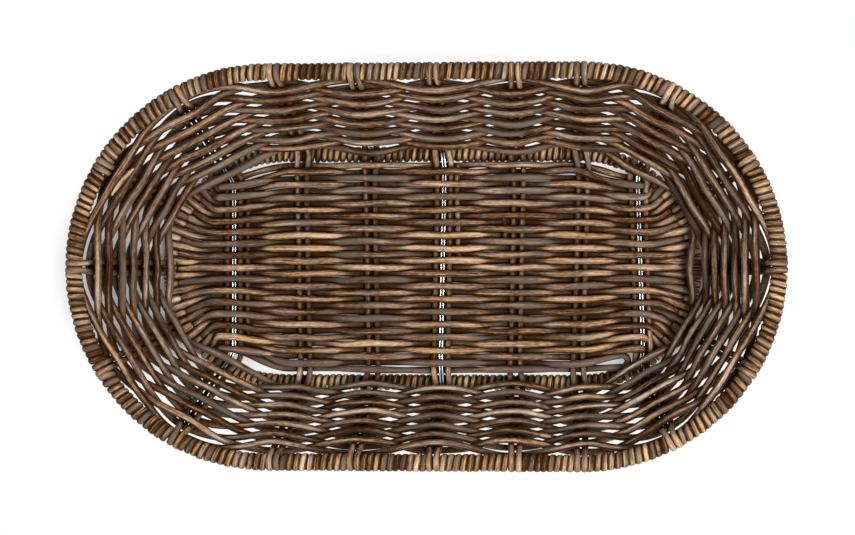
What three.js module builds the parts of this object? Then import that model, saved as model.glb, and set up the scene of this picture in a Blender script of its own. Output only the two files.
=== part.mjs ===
// An oval basket of round cane on a steel wire frame.
// Two steel hoops, the rim and the base ring, are bound with cane.
// Pairs of cane stakes run up the wall, over the base ring and across the base.
// Some pairs have a steel wire between them.
// Base weavers go to and fro over and under the stakes, and wall weavers go in and out of them, row on row.
// Millimetres, +Z up, +X along the basket, origin on the floor under its middle.
import * as THREE from "three";

// Driving dimensions
const STRAIGHT_LENGTH = 200; // straight run of each long side
const RIM_RADIUS = 124.5; // centre line of the rim round each end
const RING_RADIUS = 77; // centre line of the base ring round each end
const HEIGHT = 95; // floor to the top of the rim
const RIM_THICKNESS = 11.5; // over the binding
const RING_THICKNESS = 11; // over the binding
const HOOP_DIAMETER = 5; // steel rod inside the rim and inside the base ring
const WIRE_DIAMETER = 3; // steel wire among the stakes
const STAKE_DIAMETER = 3.8;
const WEAVER_DIAMETER = 4;
const OUTER_STICK_REACH = 39.5; // outermost cross stakes past the straight run
const STAKE_GAP = 0.6; // between the two canes of a pair
const BASE_ROW_GAP = 0.25; // least gap between neighbouring base rows
const OUTER_ROW_INSET = 1; // outermost base rows in from the widest that the base ring lets in
const FIRST_ROW_RISE = 9; // up the wall from the bend of the stakes to the first wall row
const LAST_ROW_GAP = 2.2; // between the last wall row and the rim
const BEND_LENGTH = 3; // how far each side of the corner a stake's bend reaches
const CLEARANCE = 0.3; // between pieces that touch

// Counts
const STICKS_EACH_SIDE = 3; // cross stake sets on each side of the middle one
const WALL_ROWS = 14;
const BINDING_SIDES = 8; // flats round the rim and the base ring, one of them level
const STAKE_SIDES = 6;
const WALL_WEAVER_SIDES = 5;
const BASE_WEAVER_SIDES = 4;

// Sizes that follow
const HALF_STRAIGHT = STRAIGHT_LENGTH / 2;
const STICK_PITCH = (HALF_STRAIGHT + OUTER_STICK_REACH) / STICKS_EACH_SIDE; // cross stakes along the base
const STAKE_RADIUS = STAKE_DIAMETER / 2;
const WIRE_RADIUS = WIRE_DIAMETER / 2;
const WEAVER_RADIUS = WEAVER_DIAMETER / 2;
const CORNER_FACTOR = 1 / Math.cos(Math.PI / BINDING_SIDES); // corner over flat of a binding's section
const RIM_Z = HEIGHT - RIM_THICKNESS / 2;
const RING_Z = RING_THICKNESS / 2;
const SET_RADIUS = Math.max(STAKE_RADIUS, WIRE_RADIUS); // half the thickness of a set of stakes
const STICK_Z = RING_THICKNESS + CLEARANCE + SET_RADIUS; // cross stakes lie on the base ring
const WEAVE_DEPTH = SET_RADIUS + WEAVER_RADIUS + CLEARANCE; // weaver's centre to the stakes' centre
const RIM_CORNER = (RIM_THICKNESS / 2) * CORNER_FACTOR;
const UP = new THREE.Vector3(0, 0, 1);
const LENGTHWISE = new THREE.Vector3(1, 0, 0);

// The wall in a plane square to the rim: from the bend over the base ring to the rim's centre
const WALL_RUN = RIM_RADIUS - RING_RADIUS;
const WALL_RISE = RIM_Z - STICK_Z;
const WALL_LENGTH = Math.hypot(WALL_RUN, WALL_RISE);
const STAKE_LENGTH = WALL_LENGTH - RIM_CORNER - CLEARANCE; // up the wall to just under the rim
const LAST_ROW_REACH = RIM_CORNER + LAST_ROW_GAP + WEAVER_RADIUS; // rim's centre to the last row's centre
const LAST_ROW_DROP = Math.sqrt(LAST_ROW_REACH ** 2 - WEAVE_DEPTH ** 2); // the same, measured down the wall
const ROW_PITCH = (WALL_LENGTH - LAST_ROW_DROP - FIRST_ROW_RISE) / (WALL_ROWS - 1);

// Materials
const bindingCane = new THREE.MeshStandardMaterial({ color: 0x7a5f40, roughness: 0.5, metalness: 0 });
const wallCane = new THREE.MeshStandardMaterial({ color: 0x6a4e37, roughness: 0.5, metalness: 0 });
const baseCane = new THREE.MeshStandardMaterial({ color: 0x80603f, roughness: 0.5, metalness: 0 });
const stakeCane = new THREE.MeshStandardMaterial({ color: 0x4d3f30, roughness: 0.6, metalness: 0 });
const steel = new THREE.MeshStandardMaterial({ color: 0xc9ccd0, roughness: 0.25, metalness: 1 });

const basket = new THREE.Group();

function addPiece(name, geometry, material) {
  const mesh = new THREE.Mesh(geometry, material.clone());
  mesh.name = name;
  basket.add(mesh);
}

// The corners of a round section at one point of a path, square to the path's direction there.
// turn is the angle of the first corner from the reference direction.
function sectionCorners(path, index, closed, radius, sides, reference, turn) {
  const last = path.length - 1;
  const before = path[index > 0 ? index - 1 : closed ? last : 0];
  const after = path[index < last ? index + 1 : closed ? 0 : last];
  const ahead = new THREE.Vector3().subVectors(after, path[index]).normalize();
  const behind = new THREE.Vector3().subVectors(path[index], before).normalize();
  const direction = ahead.add(behind).normalize();
  const across = reference.clone().addScaledVector(direction, -reference.dot(direction)).normalize();
  const third = new THREE.Vector3().crossVectors(direction, across);
  return Array.from({ length: sides }, (_, side) => {
    const angle = turn + (2 * Math.PI * side) / sides;
    return path[index]
      .clone()
      .addScaledVector(across, radius * Math.cos(angle))
      .addScaledVector(third, radius * Math.sin(angle));
  });
}

// Triangles between two rings of corners, facing out for a path that runs from the first ring to the second.
function skin(triangles, first, second) {
  const sides = first.length;
  for (let side = 0; side < sides; side += 1) {
    const next = (side + 1) % sides;
    triangles.push(first[side], first[next], second[side]);
    triangles.push(first[next], second[next], second[side]);
  }
}

// A flat end over one ring of corners, facing along the path.
function cap(triangles, ring) {
  for (let side = 1; side < ring.length - 1; side += 1) {
    triangles.push(ring[0], ring[side], ring[side + 1]);
  }
}

function geometryFrom(triangles) {
  const geometry = new THREE.BufferGeometry().setFromPoints(triangles);
  geometry.computeVertexNormals();
  return geometry;
}

function ringsAlong(path, closed, radius, sides, reference, turn) {
  return path.map((_, index) => sectionCorners(path, index, closed, radius, sides, reference, turn));
}

// A solid rod along a path of points, either a closed loop or with two flat ends.
function rod(path, { radius, sides, reference, turn = 0, closed = false }) {
  const rings = ringsAlong(path, closed, radius, sides, reference, turn);
  const triangles = [];
  for (let index = 0; index < rings.length - 1; index += 1) {
    skin(triangles, rings[index], rings[index + 1]);
  }
  if (closed) {
    skin(triangles, rings.at(-1), rings[0]);
  } else {
    cap(triangles, [...rings[0]].reverse());
    cap(triangles, rings.at(-1));
  }
  return geometryFrom(triangles);
}

// A tube with a bore along an open path of points.
function sleeve(path, { outer, inner, sides, reference, turn }) {
  const outside = ringsAlong(path, false, outer, sides, reference, turn);
  const inside = ringsAlong(path, false, inner, sides, reference, turn);
  const triangles = [];
  for (let index = 0; index < path.length - 1; index += 1) {
    skin(triangles, outside[index], outside[index + 1]);
    skin(triangles, inside[index + 1], inside[index]);
  }
  skin(triangles, inside[0], outside[0]);
  skin(triangles, outside.at(-1), inside.at(-1));
  return geometryFrom(triangles);
}

// A place where stakes stand: a point on the basket's middle line and the direction out to the wall.
// Beyond the straight run the direction turns so that the stake still meets the base ring above its stick.
function stationAt(stickX, side) {
  const past = Math.max(0, Math.abs(stickX) - HALF_STRAIGHT);
  const angle = Math.acos(past / RING_RADIUS);
  const out = new THREE.Vector3(Math.sign(stickX) * Math.cos(angle), side * Math.sin(angle), 0);
  return makeStation(Math.sign(stickX) * (Math.abs(stickX) - past), out);
}

function makeStation(anchorX, out) {
  return {
    anchor: new THREE.Vector3(anchorX, 0, 0),
    out,
    along: new THREE.Vector3(-out.y, out.x, 0), // sideways, anticlockwise seen from above
  };
}

// A point of the wall at a station: so far up from the bend, so far in from the stakes, and so far sideways.
function wallPoint(station, up, inward, sideways) {
  const radius = RING_RADIUS + (up * WALL_RUN - inward * WALL_RISE) / WALL_LENGTH;
  const height = STICK_Z + (up * WALL_RISE + inward * WALL_RUN) / WALL_LENGTH;
  return station.anchor
    .clone()
    .addScaledVector(station.out, radius)
    .addScaledVector(station.along, sideways)
    .setZ(height);
}

// The stakes: sets of canes, where a wired set has a steel wire between its two canes
const PAIR_OFFSET = STAKE_RADIUS + STAKE_GAP / 2;
const WIRED_OFFSET = WIRE_RADIUS + CLEARANCE + STAKE_RADIUS;
const sticks = [];
for (let number = -STICKS_EACH_SIDE; number <= STICKS_EACH_SIDE; number += 1) {
  const wired = number % STICKS_EACH_SIDE === 0;
  const offset = wired ? WIRED_OFFSET : PAIR_OFFSET;
  sticks.push({ x: number * STICK_PITCH, wired, offset, halfWidth: offset + STAKE_RADIUS });
}

// Wall stations, anticlockwise from the right end's middle: three on each round end, two for each stick
const cornerStation = stationAt(STICKS_EACH_SIDE * STICK_PITCH, 1);
const CORNER_ANGLE = Math.atan2(cornerStation.out.y, cornerStation.out.x);

function stickStations(side) {
  return sticks.map((stick) => {
    const station = stationAt(stick.x, side);
    return { ...station, halfWidth: stick.halfWidth / Math.abs(station.out.y) };
  });
}

function endStation(end, turn) {
  const out = new THREE.Vector3(end * Math.cos(turn), end * Math.sin(turn), 0);
  const wired = turn === 0;
  const offset = wired ? WIRED_OFFSET : PAIR_OFFSET;
  return { ...makeStation(end * HALF_STRAIGHT, out), wired, offset, halfWidth: offset + STAKE_RADIUS };
}

const END_TURNS = [-CORNER_ANGLE / 2, 0, CORNER_ANGLE / 2];
const rightEnd = END_TURNS.map((turn) => endStation(1, turn));
const leftEnd = END_TURNS.map((turn) => endStation(-1, turn));
const stations = [
  ...rightEnd,
  ...stickStations(1).reverse(),
  ...leftEnd,
  ...stickStations(-1),
];

// A bend from one straight run to another at a corner, as three points of a smooth curve.
function bend(corner, from, to) {
  const start = corner.clone().addScaledVector(from, BEND_LENGTH);
  const end = corner.clone().addScaledVector(to, BEND_LENGTH);
  return new THREE.QuadraticBezierCurve3(start, corner, end).getPoints(2);
}

// A stake's path from its bend up one wall, given the direction its base run comes from.
function wallRun(station, sideways, comesFrom) {
  const corner = wallPoint(station, 0, 0, sideways);
  const top = wallPoint(station, STAKE_LENGTH, 0, sideways);
  const up = new THREE.Vector3().subVectors(top, corner).normalize();
  return [...bend(corner, comesFrom, up), top];
}

// A cross stake: up the back wall, across the base beside its stick's middle line, and up the front wall.
function crossStakePath(stick, offset) {
  const back = stationAt(stick.x, 1);
  const front = stationAt(stick.x, -1);
  const sideways = offset / Math.abs(back.out.y);
  const backRun = wallRun(back, -sideways, new THREE.Vector3(0, -1, 0));
  const frontRun = wallRun(front, sideways, new THREE.Vector3(0, 1, 0));
  return [...backRun.reverse(), ...frontRun];
}

// An end stake: a short foot on top of the base ring, then up the wall.
function endStakePath(station, sideways) {
  const inward = station.out.clone().negate();
  const foot = wallPoint(station, 0, 0, sideways).addScaledVector(inward, RING_THICKNESS / 2 - CLEARANCE);
  return [foot, ...wallRun(station, sideways, inward)];
}

const stakeSection = { radius: STAKE_RADIUS, sides: STAKE_SIDES };
const wireSection = { radius: WIRE_RADIUS, sides: STAKE_SIDES };

function addCrossStakes() {
  sticks.forEach((stick, index) => {
    const name = `cross_stake_${index + 1}`;
    const section = { ...stakeSection, reference: LENGTHWISE };
    addPiece(`${name}_left`, rod(crossStakePath(stick, -stick.offset), section), stakeCane);
    addPiece(`${name}_right`, rod(crossStakePath(stick, stick.offset), section), stakeCane);
    if (stick.wired) {
      const wire = rod(crossStakePath(stick, 0), { ...wireSection, reference: LENGTHWISE });
      addPiece(`cross_wire_${index + 1}`, wire, steel);
    }
  });
}

function addEndStakes(endName, endStations) {
  endStations.forEach((station, index) => {
    const name = `end_stake_${endName}_${index + 1}`;
    const section = { ...stakeSection, reference: station.along };
    addPiece(`${name}_a`, rod(endStakePath(station, -station.offset), section), stakeCane);
    addPiece(`${name}_b`, rod(endStakePath(station, station.offset), section), stakeCane);
    if (station.wired) {
      const wire = rod(endStakePath(station, 0), { ...wireSection, reference: station.along });
      addPiece(`end_wire_${endName}`, wire, steel);
    }
  });
}

// Wall weavers: closed rows that pass inside one stake set and outside the next
function wallRowPath(row) {
  const up = FIRST_ROW_RISE + row * ROW_PITCH;
  return stations.flatMap((station, index) => {
    const inward = (index + row) % 2 === 1 ? WEAVE_DEPTH : -WEAVE_DEPTH;
    const edges = [-station.halfWidth, station.halfWidth];
    return edges.map((sideways) => wallPoint(station, up, inward, sideways));
  });
}

function addWallWeavers() {
  const section = { radius: WEAVER_RADIUS, sides: WALL_WEAVER_SIDES, reference: UP, closed: true };
  for (let row = 0; row < WALL_ROWS; row += 1) {
    addPiece(`wall_weaver_${row + 1}`, rod(wallRowPath(row), section), wallCane);
  }
}

// Base weavers: rows that run lengthwise inside the base ring and turn back at its ends
const WEAVE_RADIUS = RING_RADIUS - RING_THICKNESS / 2 - WEAVER_RADIUS - CLEARANCE;
const OUTER_ROW_Y = WEAVE_RADIUS - OUTER_ROW_INSET;
const BASE_ROWS = Math.floor((2 * OUTER_ROW_Y) / (WEAVER_DIAMETER + BASE_ROW_GAP)) + 1;
const BASE_ROW_PITCH = (2 * OUTER_ROW_Y) / (BASE_ROWS - 1);

function rowY(row) {
  return -OUTER_ROW_Y + row * BASE_ROW_PITCH;
}

// How far a base row reaches from the middle.
// A row that the ring would stop at a stick ends short of that stick.
function rowReach(row) {
  const reach = HALF_STRAIGHT + Math.sqrt(WEAVE_RADIUS ** 2 - rowY(row) ** 2);
  const room = ({ halfWidth }) => halfWidth + WEAVER_RADIUS + CLEARANCE;
  const hit = sticks.find((stick) => Math.abs(stick.x - reach) < room(stick));
  return hit ? hit.x - room(hit) : reach;
}

function passedSticks(row) {
  return sticks.filter(({ x }) => Math.abs(x) < rowReach(row));
}

// One base row from left to right, level where it crosses a stick and sloping between sticks.
function baseRowPath(row) {
  const reach = rowReach(row);
  const passed = passedSticks(row);
  const levelAt = (stick) => ((sticks.indexOf(stick) + row) % 2 === 0 ? 1 : -1);
  const pathPoint = (x, level) => new THREE.Vector3(x, rowY(row), STICK_Z + level * WEAVE_DEPTH);
  const outermost = passed.at(-1);
  const pastStick = reach - outermost.x - outermost.halfWidth;
  const slope = pastStick / (STICK_PITCH / 2 - outermost.halfWidth);
  const endLevel = levelAt(outermost) * Math.max(0, 1 - slope);
  return [
    pathPoint(-reach, endLevel),
    ...passed.flatMap((stick) =>
      [-stick.halfWidth, stick.halfWidth].map((beside) => pathPoint(stick.x + beside, levelAt(stick))),
    ),
    pathPoint(reach, endLevel),
  ];
}

// The rows of each length of cane: neighbours that cross the same sticks, and the full rows in two halves.
function baseRowGroups() {
  const groups = [];
  for (let row = 0; row < BASE_ROWS; row += 1) {
    const crossed = passedSticks(row).length;
    const secondHalf = crossed === sticks.length && rowY(row) > 0;
    const last = groups.at(-1);
    if (last && last.crossed === crossed && last.secondHalf === secondHalf) {
      last.rows.push(row);
    } else {
      groups.push({ crossed, secondHalf, rows: [row] });
    }
  }
  return groups;
}

function addBaseWeavers() {
  const section = { radius: WEAVER_RADIUS, sides: BASE_WEAVER_SIDES, reference: UP };
  baseRowGroups().forEach(({ rows }, index) => {
    const path = rows.flatMap((row) => (row % 2 === 0 ? baseRowPath(row) : baseRowPath(row).reverse()));
    addPiece(`base_weaver_${index + 1}`, rod(path, section), baseCane);
  });
}

// The hoops and their bindings: a stadium with points at each wall station and halfway between stations
const QUARTER_TURN = Math.PI / 2;
const STATION_ANGLES = [-QUARTER_TURN, -CORNER_ANGLE, ...END_TURNS, CORNER_ANGLE, QUARTER_TURN];
const ARC_ANGLES = STATION_ANGLES.flatMap((angle, index) =>
  index === 0 ? [angle] : [(STATION_ANGLES[index - 1] + angle) / 2, angle],
);

// Points round one end, anticlockwise seen from above. end is 1 on the right and -1 on the left.
function endArc(end, radius, z) {
  return ARC_ANGLES.map(
    (angle) =>
      new THREE.Vector3(end * (HALF_STRAIGHT + radius * Math.cos(angle)), end * radius * Math.sin(angle), z),
  );
}

// Half a stadium: one round end and its half of each long side, short of the middle by half the clearance.
function halfStadium(end, radius, z) {
  const arc = endArc(end, radius, z);
  const middle = [arc[0], arc.at(-1)].map((point) => point.clone().setX((end * CLEARANCE) / 2));
  return [middle[0], ...arc, middle[1]];
}

function addBoundHoop(name, radius, z, thickness) {
  const turn = Math.PI / BINDING_SIDES;
  const hoop = { radius: HOOP_DIAMETER / 2, sides: BINDING_SIDES, reference: UP, turn, closed: true };
  addPiece(`${name}_hoop`, rod([...endArc(1, radius, z), ...endArc(-1, radius, z)], hoop), steel);
  const binding = {
    outer: (thickness / 2) * CORNER_FACTOR,
    inner: (HOOP_DIAMETER / 2 + CLEARANCE) * CORNER_FACTOR,
    sides: BINDING_SIDES,
    reference: UP,
    turn,
  };
  addPiece(`${name}_binding_right`, sleeve(halfStadium(1, radius, z), binding), bindingCane);
  addPiece(`${name}_binding_left`, sleeve(halfStadium(-1, radius, z), binding), bindingCane);
}

addBoundHoop("base", RING_RADIUS, RING_Z, RING_THICKNESS);
addBoundHoop("rim", RIM_RADIUS, RIM_Z, RIM_THICKNESS);
addCrossStakes();
addEndStakes("left", leftEnd);
addEndStakes("right", rightEnd);
addBaseWeavers();
addWallWeavers();

export default basket;
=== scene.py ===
"""Oval basket woven from dark lacquered cane over a few bright steel wires.

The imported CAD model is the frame. Every cane, wire and winding here is one or more strands: a
flattened round profile carried along a path that numpy works out from the frame's sizes.
Lengths are metres, +X runs along the oval and +Z is up.
"""

import bpy
import numpy as np
from mathutils import Matrix, Vector


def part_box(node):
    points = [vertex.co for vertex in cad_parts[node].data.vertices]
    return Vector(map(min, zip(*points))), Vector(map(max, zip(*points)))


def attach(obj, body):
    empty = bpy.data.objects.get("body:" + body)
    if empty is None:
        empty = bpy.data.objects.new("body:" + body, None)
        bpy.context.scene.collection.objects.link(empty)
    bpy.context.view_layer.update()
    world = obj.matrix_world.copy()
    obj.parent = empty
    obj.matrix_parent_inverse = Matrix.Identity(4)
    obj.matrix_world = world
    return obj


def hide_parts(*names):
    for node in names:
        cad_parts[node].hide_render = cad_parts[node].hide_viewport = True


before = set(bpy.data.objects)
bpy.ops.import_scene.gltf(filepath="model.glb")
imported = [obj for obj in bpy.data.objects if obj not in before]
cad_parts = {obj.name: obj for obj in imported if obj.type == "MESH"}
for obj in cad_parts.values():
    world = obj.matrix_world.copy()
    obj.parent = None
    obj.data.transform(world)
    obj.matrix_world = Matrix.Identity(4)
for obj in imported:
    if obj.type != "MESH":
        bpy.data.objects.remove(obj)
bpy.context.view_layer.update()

MM = 0.001

# Sizes taken from the frame
RIM_LOW, RIM_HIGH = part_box("rim_binding_right")
RING_LOW, RING_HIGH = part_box("base_binding_right")
HALF_STRAIGHT = RIM_HIGH.x - RIM_HIGH.y
RIM_HALF = (RIM_HIGH.z - RIM_LOW.z) / 2
RIM_RADIUS = RIM_HIGH.y - RIM_HALF
RIM_Z = RIM_HIGH.z - RIM_HALF
RING_HALF = (RING_HIGH.z - RING_LOW.z) / 2
RING_RADIUS = RING_HIGH.y - RING_HALF
RING_Z = RING_HIGH.z - RING_HALF
STICK_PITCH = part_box("cross_stake_6_left")[0].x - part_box("cross_stake_5_left")[0].x
ROW_LOW = sum(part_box("wall_weaver_1"), Vector()).z / 2
ROW_HIGH = sum(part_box("wall_weaver_14"), Vector()).z / 2

# Canes and wires
STAKE_RADIUS = 2.05 * MM
WALL_CANE_RADIUS = 2.48 * MM
THICK_BACK = 0.22 * MM
THICK_ENDS = 0.2 * MM
THIN_FRONT = 0.16 * MM
BASE_CANE_RADIUS = 2.15 * MM
WIRE_RADIUS = 0.6 * MM
WIRE_ASIDE = 0.95 * MM
WRAP_THICK = 1.5 * MM
WRAP_WIDE = 2.3 * MM
RIM_WRAP_WIDE = 2.4 * MM
RING_WRAP_WIDE = 2.14 * MM
STICK_SEAT = 0.3 * MM
PAIR_ASIDE = 2.8 * MM
END_ASIDE = 2.2 * MM
RIM_ASIDE = 2.25 * MM
WIRED_ASIDE = 4.4 * MM
WALL_ASIDE = 3.4 * MM
RING_SPREAD = 1.6 * MM

# Sticks, and spare canes beside them: place aside, front end, back end, length of a turned tip
STICKS = 7
WIRED_STICKS = (0, 3, 6)
THIRD_CANES = {
    0: (9.3 * MM, -52 * MM, 52 * MM, 0.0),
    3: (10.0 * MM, 8 * MM, 72 * MM, 16 * MM),
    4: (-8.0 * MM, 12 * MM, 34 * MM, 0.0),
}

# Rows of the wall and the base
WALL_ROWS = 14
SPLICES = 5
SPLIT_ROW = 11
BASE_ROWS = 33
ROW_REACH = 68.5 * MM
ROW_SHIFT = 0.5 * MM
LOW_LIFT = -1.4 * MM
SIDE_LIFT = -3.2 * MM
END_LIFT = 3.4 * MM
CORNER_BULGE = 4 * MM
TOP_PACKED = 2.4 * MM
ROW_BOW = 0.092
FAN_ANGLE = np.radians(56)
SHORT_ROWS = 2
SHORT_ENDS = np.array([139, 134]) * MM
ROW_TUCK = {0: 12 * MM, 1: 6 * MM, 31: 3.5 * MM, 32: 2.5 * MM}
HAIRPIN_X = 128 * MM

# Windings of the rim and the base ring
RIM_PITCH = 4.46 * MM
RING_PITCH = 4.4 * MM
TURN_STEPS = 14

# Stain tones, dark to light, and how far they spread from cane to cane
WALL_TONE = 0.055
WALL_END_DARKER = 0.06
BASE_TONE = 0.14
HAIRPIN_TONE = 0.02
WEAVE_TONE_SPREAD = 0.10
STAKE_TONE = 0.40
STAKE_TONE_SPREAD = 0.06
RIM_TONE = -0.18
RING_TONE = 0.0
LOOP_TONE = 0.02
LOOP_TONE_SPREAD = 0.08

# The middle of the painted highlight strip on a wall cane's outer side, turned from straight up
OUTER_FACE = np.radians(105)

# The stage's floor
FLOOR_HALF = 8.0
UNSEEN_FLOOR = (0.26, 0.25, 0.24, 1)

# The wall's slope, from the bend over the base ring to the rim
STICK_Z = 2 * RING_HALF + STICK_SEAT + STAKE_RADIUS
WALL_RUN = RIM_RADIUS - RING_RADIUS
WALL_RISE = RIM_Z - STICK_Z
WALL_LENGTH = np.hypot(WALL_RUN, WALL_RISE)
WALL_ANGLE = np.arctan2(WALL_RISE, WALL_RUN)
WALL_DEPTH = STAKE_RADIUS + WALL_CANE_RADIUS
BASE_DEPTH = STAKE_RADIUS + BASE_CANE_RADIUS
LEAN_LENGTH = 22 * MM
RIM_WRAP = RIM_HALF - WRAP_THICK
RING_WRAP = RING_HALF - WRAP_THICK

# How far hand work moves sticks along X, fans stakes at the rim and slants sticks
STICK_DRIFT = np.array([6.9, 7.6, 7.2, 8.4, 11.9, 8.0, 1.2]) * MM
SIDE_FAN = np.array([-10.0, -4.7, -2.0, 0.0, -1.0]) * MM
STICK_SLANT = np.array([0.0, -0.02, -0.02, 0.02, 0.02, 0.03, -0.03])
STICK_X = STICK_PITCH * (np.arange(STICKS) - (STICKS - 1) / 2) + STICK_DRIFT
CORNER = np.arccos((3 * STICK_PITCH - HALF_STRAIGHT) / RING_RADIUS)
CORNER_FAN = 6.5 * MM
END_FAN = 4 * MM


def unit(vectors):
    """Each vector divided by its own length."""
    return vectors / np.linalg.norm(vectors, axis=-1, keepdims=True)


def smoothstep(share):
    """The S curve 3t^2 - 2t^3 from 0 to 1, flat outside."""
    held = np.clip(share, 0, 1)
    return held * held * (3 - 2 * held)


def drift(rng, count, points, waves):
    """Slow wander of about unit size: five sines of random phase, up to `waves` waves a strand, added."""
    along = np.linspace(0, 1, points)
    often = rng.uniform(0.2, 1, (count, 5, 1)) * waves
    phase = rng.uniform(0, 1, (count, 5, 1))
    return np.sin(2 * np.pi * (often * along + phase)).sum(axis=1) / 1.6


def oval(radius, walked):
    """A point of an oval and its outward direction, after a walk from the right end's middle.

    The walk goes anticlockwise: quarter turn, straight, half turn, straight, quarter turn. The turned
    angle and the turn's centre both change in straight lines between those five pieces' ends.
    """
    quarter = radius * np.pi / 2
    straight = 2 * HALF_STRAIGHT
    ends = np.cumsum([0, quarter, straight, 2 * quarter, straight, quarter])
    at = np.mod(walked, ends[-1])
    angle = np.interp(at, ends, np.pi * np.array([0, 0.5, 0.5, 1.5, 1.5, 2]))
    centre = np.interp(at, ends, HALF_STRAIGHT * np.array([1, 1, -1, -1, 1, 1]))
    out = np.stack([np.cos(angle), np.sin(angle), 0 * angle], axis=-1)
    return radius * out + centre[..., None] * np.array([1, 0, 0]), out


def stake_stations():
    """The turned angle and the straight length walked at each of the 20 stakes.

    They are numbered anticlockwise from the right end.
    """
    side = STICK_X[1:-1]
    ends = CORNER / 2 * np.array([-1, 0, 1])
    back_straight = HALF_STRAIGHT - side[::-1]
    front_straight = 3 * HALF_STRAIGHT + side
    sides = np.ones(len(side))
    angle = np.concatenate([
        ends, [CORNER], sides * np.pi / 2, [np.pi - CORNER],
        np.pi + ends, [np.pi + CORNER], sides * 1.5 * np.pi, [2 * np.pi - CORNER],
    ])
    walked = np.concatenate([
        [0] * 4, back_straight, [2 * HALF_STRAIGHT] * 5, front_straight, [4 * HALF_STRAIGHT],
    ])
    return angle, walked


STATION_ANGLE, STATION_WALKED = stake_stations()
STATIONS = len(STATION_ANGLE)
STATION_FAN = np.concatenate([
    [-END_FAN, 0, END_FAN, CORNER_FAN], -SIDE_FAN[::-1], [-CORNER_FAN],
    [-END_FAN, 0, END_FAN, CORNER_FAN], SIDE_FAN, [-CORNER_FAN],
])
STATION_CENTRE = np.where(
    STATION_WALKED <= 2 * HALF_STRAIGHT,
    HALF_STRAIGHT - STATION_WALKED,
    STATION_WALKED - 3 * HALF_STRAIGHT,
)
STATION_OUT = np.stack([np.cos(STATION_ANGLE), np.sin(STATION_ANGLE), 0 * STATION_ANGLE], axis=-1)
STATION_ALONG = np.stack([-np.sin(STATION_ANGLE), np.cos(STATION_ANGLE), 0 * STATION_ANGLE], axis=-1)
STATION_AT = np.stack([STATION_CENTRE, 0 * STATION_ANGLE, 0 * STATION_ANGLE], axis=-1)


def stake_lean(up):
    """How far a stake stands in from the wall's line: nothing low down, a wrap's radius at the rim."""
    return RIM_WRAP * smoothstep((up - WALL_LENGTH + LEAN_LENGTH) / LEAN_LENGTH)


def wall_radius_height(up, inward):
    """Radius and height of a point `up` along the wall's line and `inward` square to it."""
    radius = RING_RADIUS + up * np.cos(WALL_ANGLE) - inward * np.sin(WALL_ANGLE)
    height = STICK_Z + up * np.sin(WALL_ANGLE) + inward * np.cos(WALL_ANGLE)
    return radius, height


def at_station(station, radius, height, aside=0.0):
    """Points in the plane of one station or of all: centre + radius out + aside along + height.

    Where the oval turns, a stake also fans out sideways as it rises.
    """
    radius, height, aside = np.broadcast_arrays(radius, height, aside)
    aside = aside + STATION_FAN[station] * np.maximum(height - STICK_Z, 0) / WALL_RISE
    flat = STATION_AT[station] + radius[..., None] * STATION_OUT[station]
    flat = flat + aside[..., None] * STATION_ALONG[station]
    return flat + height[..., None] * np.array([0, 0, 1])


def smooth_loop(knots, samples):
    """A closed curve through knots, made of cubic Hermite spans.

    The slope at a knot weighs the two chords beside it, the shorter one more.
    """
    after = np.roll(knots, -1, axis=0) - knots
    span = np.linalg.norm(after, axis=1, keepdims=True)
    before_span = np.roll(span, 1, axis=0)
    before = np.roll(after, 1, axis=0)
    slope = (after / span * before_span + before / before_span * span) / (span + before_span)
    t = np.linspace(0, 1, samples, endpoint=False)[None, :, None]
    start, end = knots[:, None], np.roll(knots, -1, axis=0)[:, None]
    leave, arrive = (slope * span)[:, None], (np.roll(slope, -1, axis=0) * span)[:, None]
    curve = (2 * t**3 - 3 * t**2 + 1) * start + (t**3 - 2 * t**2 + t) * leave
    curve = curve + (3 * t**2 - 2 * t**3) * end + (t**3 - t**2) * arrive
    return curve.reshape(-1, 3)


def out_from_straight(path):
    """Each point's level direction away from the nearest point of the oval's middle line, and how far."""
    nearest = np.clip(path[..., :1], -HALF_STRAIGHT, HALF_STRAIGHT)
    flat = path[..., :2] - np.concatenate([nearest, 0 * nearest], axis=-1)
    distance = np.linalg.norm(flat, axis=-1, keepdims=True)
    return flat / np.maximum(distance, 1e-6), distance


def evened(path, count):
    """The same path with its points at equal distances."""
    steps = np.linalg.norm(np.diff(path, axis=0), axis=1)
    walked = np.concatenate([[0], np.cumsum(steps)])
    at = np.linspace(0, walked[-1], count)
    return np.stack([np.interp(at, walked, path[:, axis]) for axis in range(3)], axis=1)


def softened(path, width, kept=0.0):
    """Rounds a path's corners: each point becomes the mean of its neighbours, `kept` holds it back."""
    padded = np.concatenate([np.repeat(path[:1], width, 0), path, np.repeat(path[-1:], width, 0)])
    sums = np.cumsum(np.concatenate([np.zeros((1, 3)), padded]), axis=0)
    mean = (sums[2 * width + 1:] - sums[:-2 * width - 1]) / (2 * width + 1)
    return kept * path + (1 - kept) * mean


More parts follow.
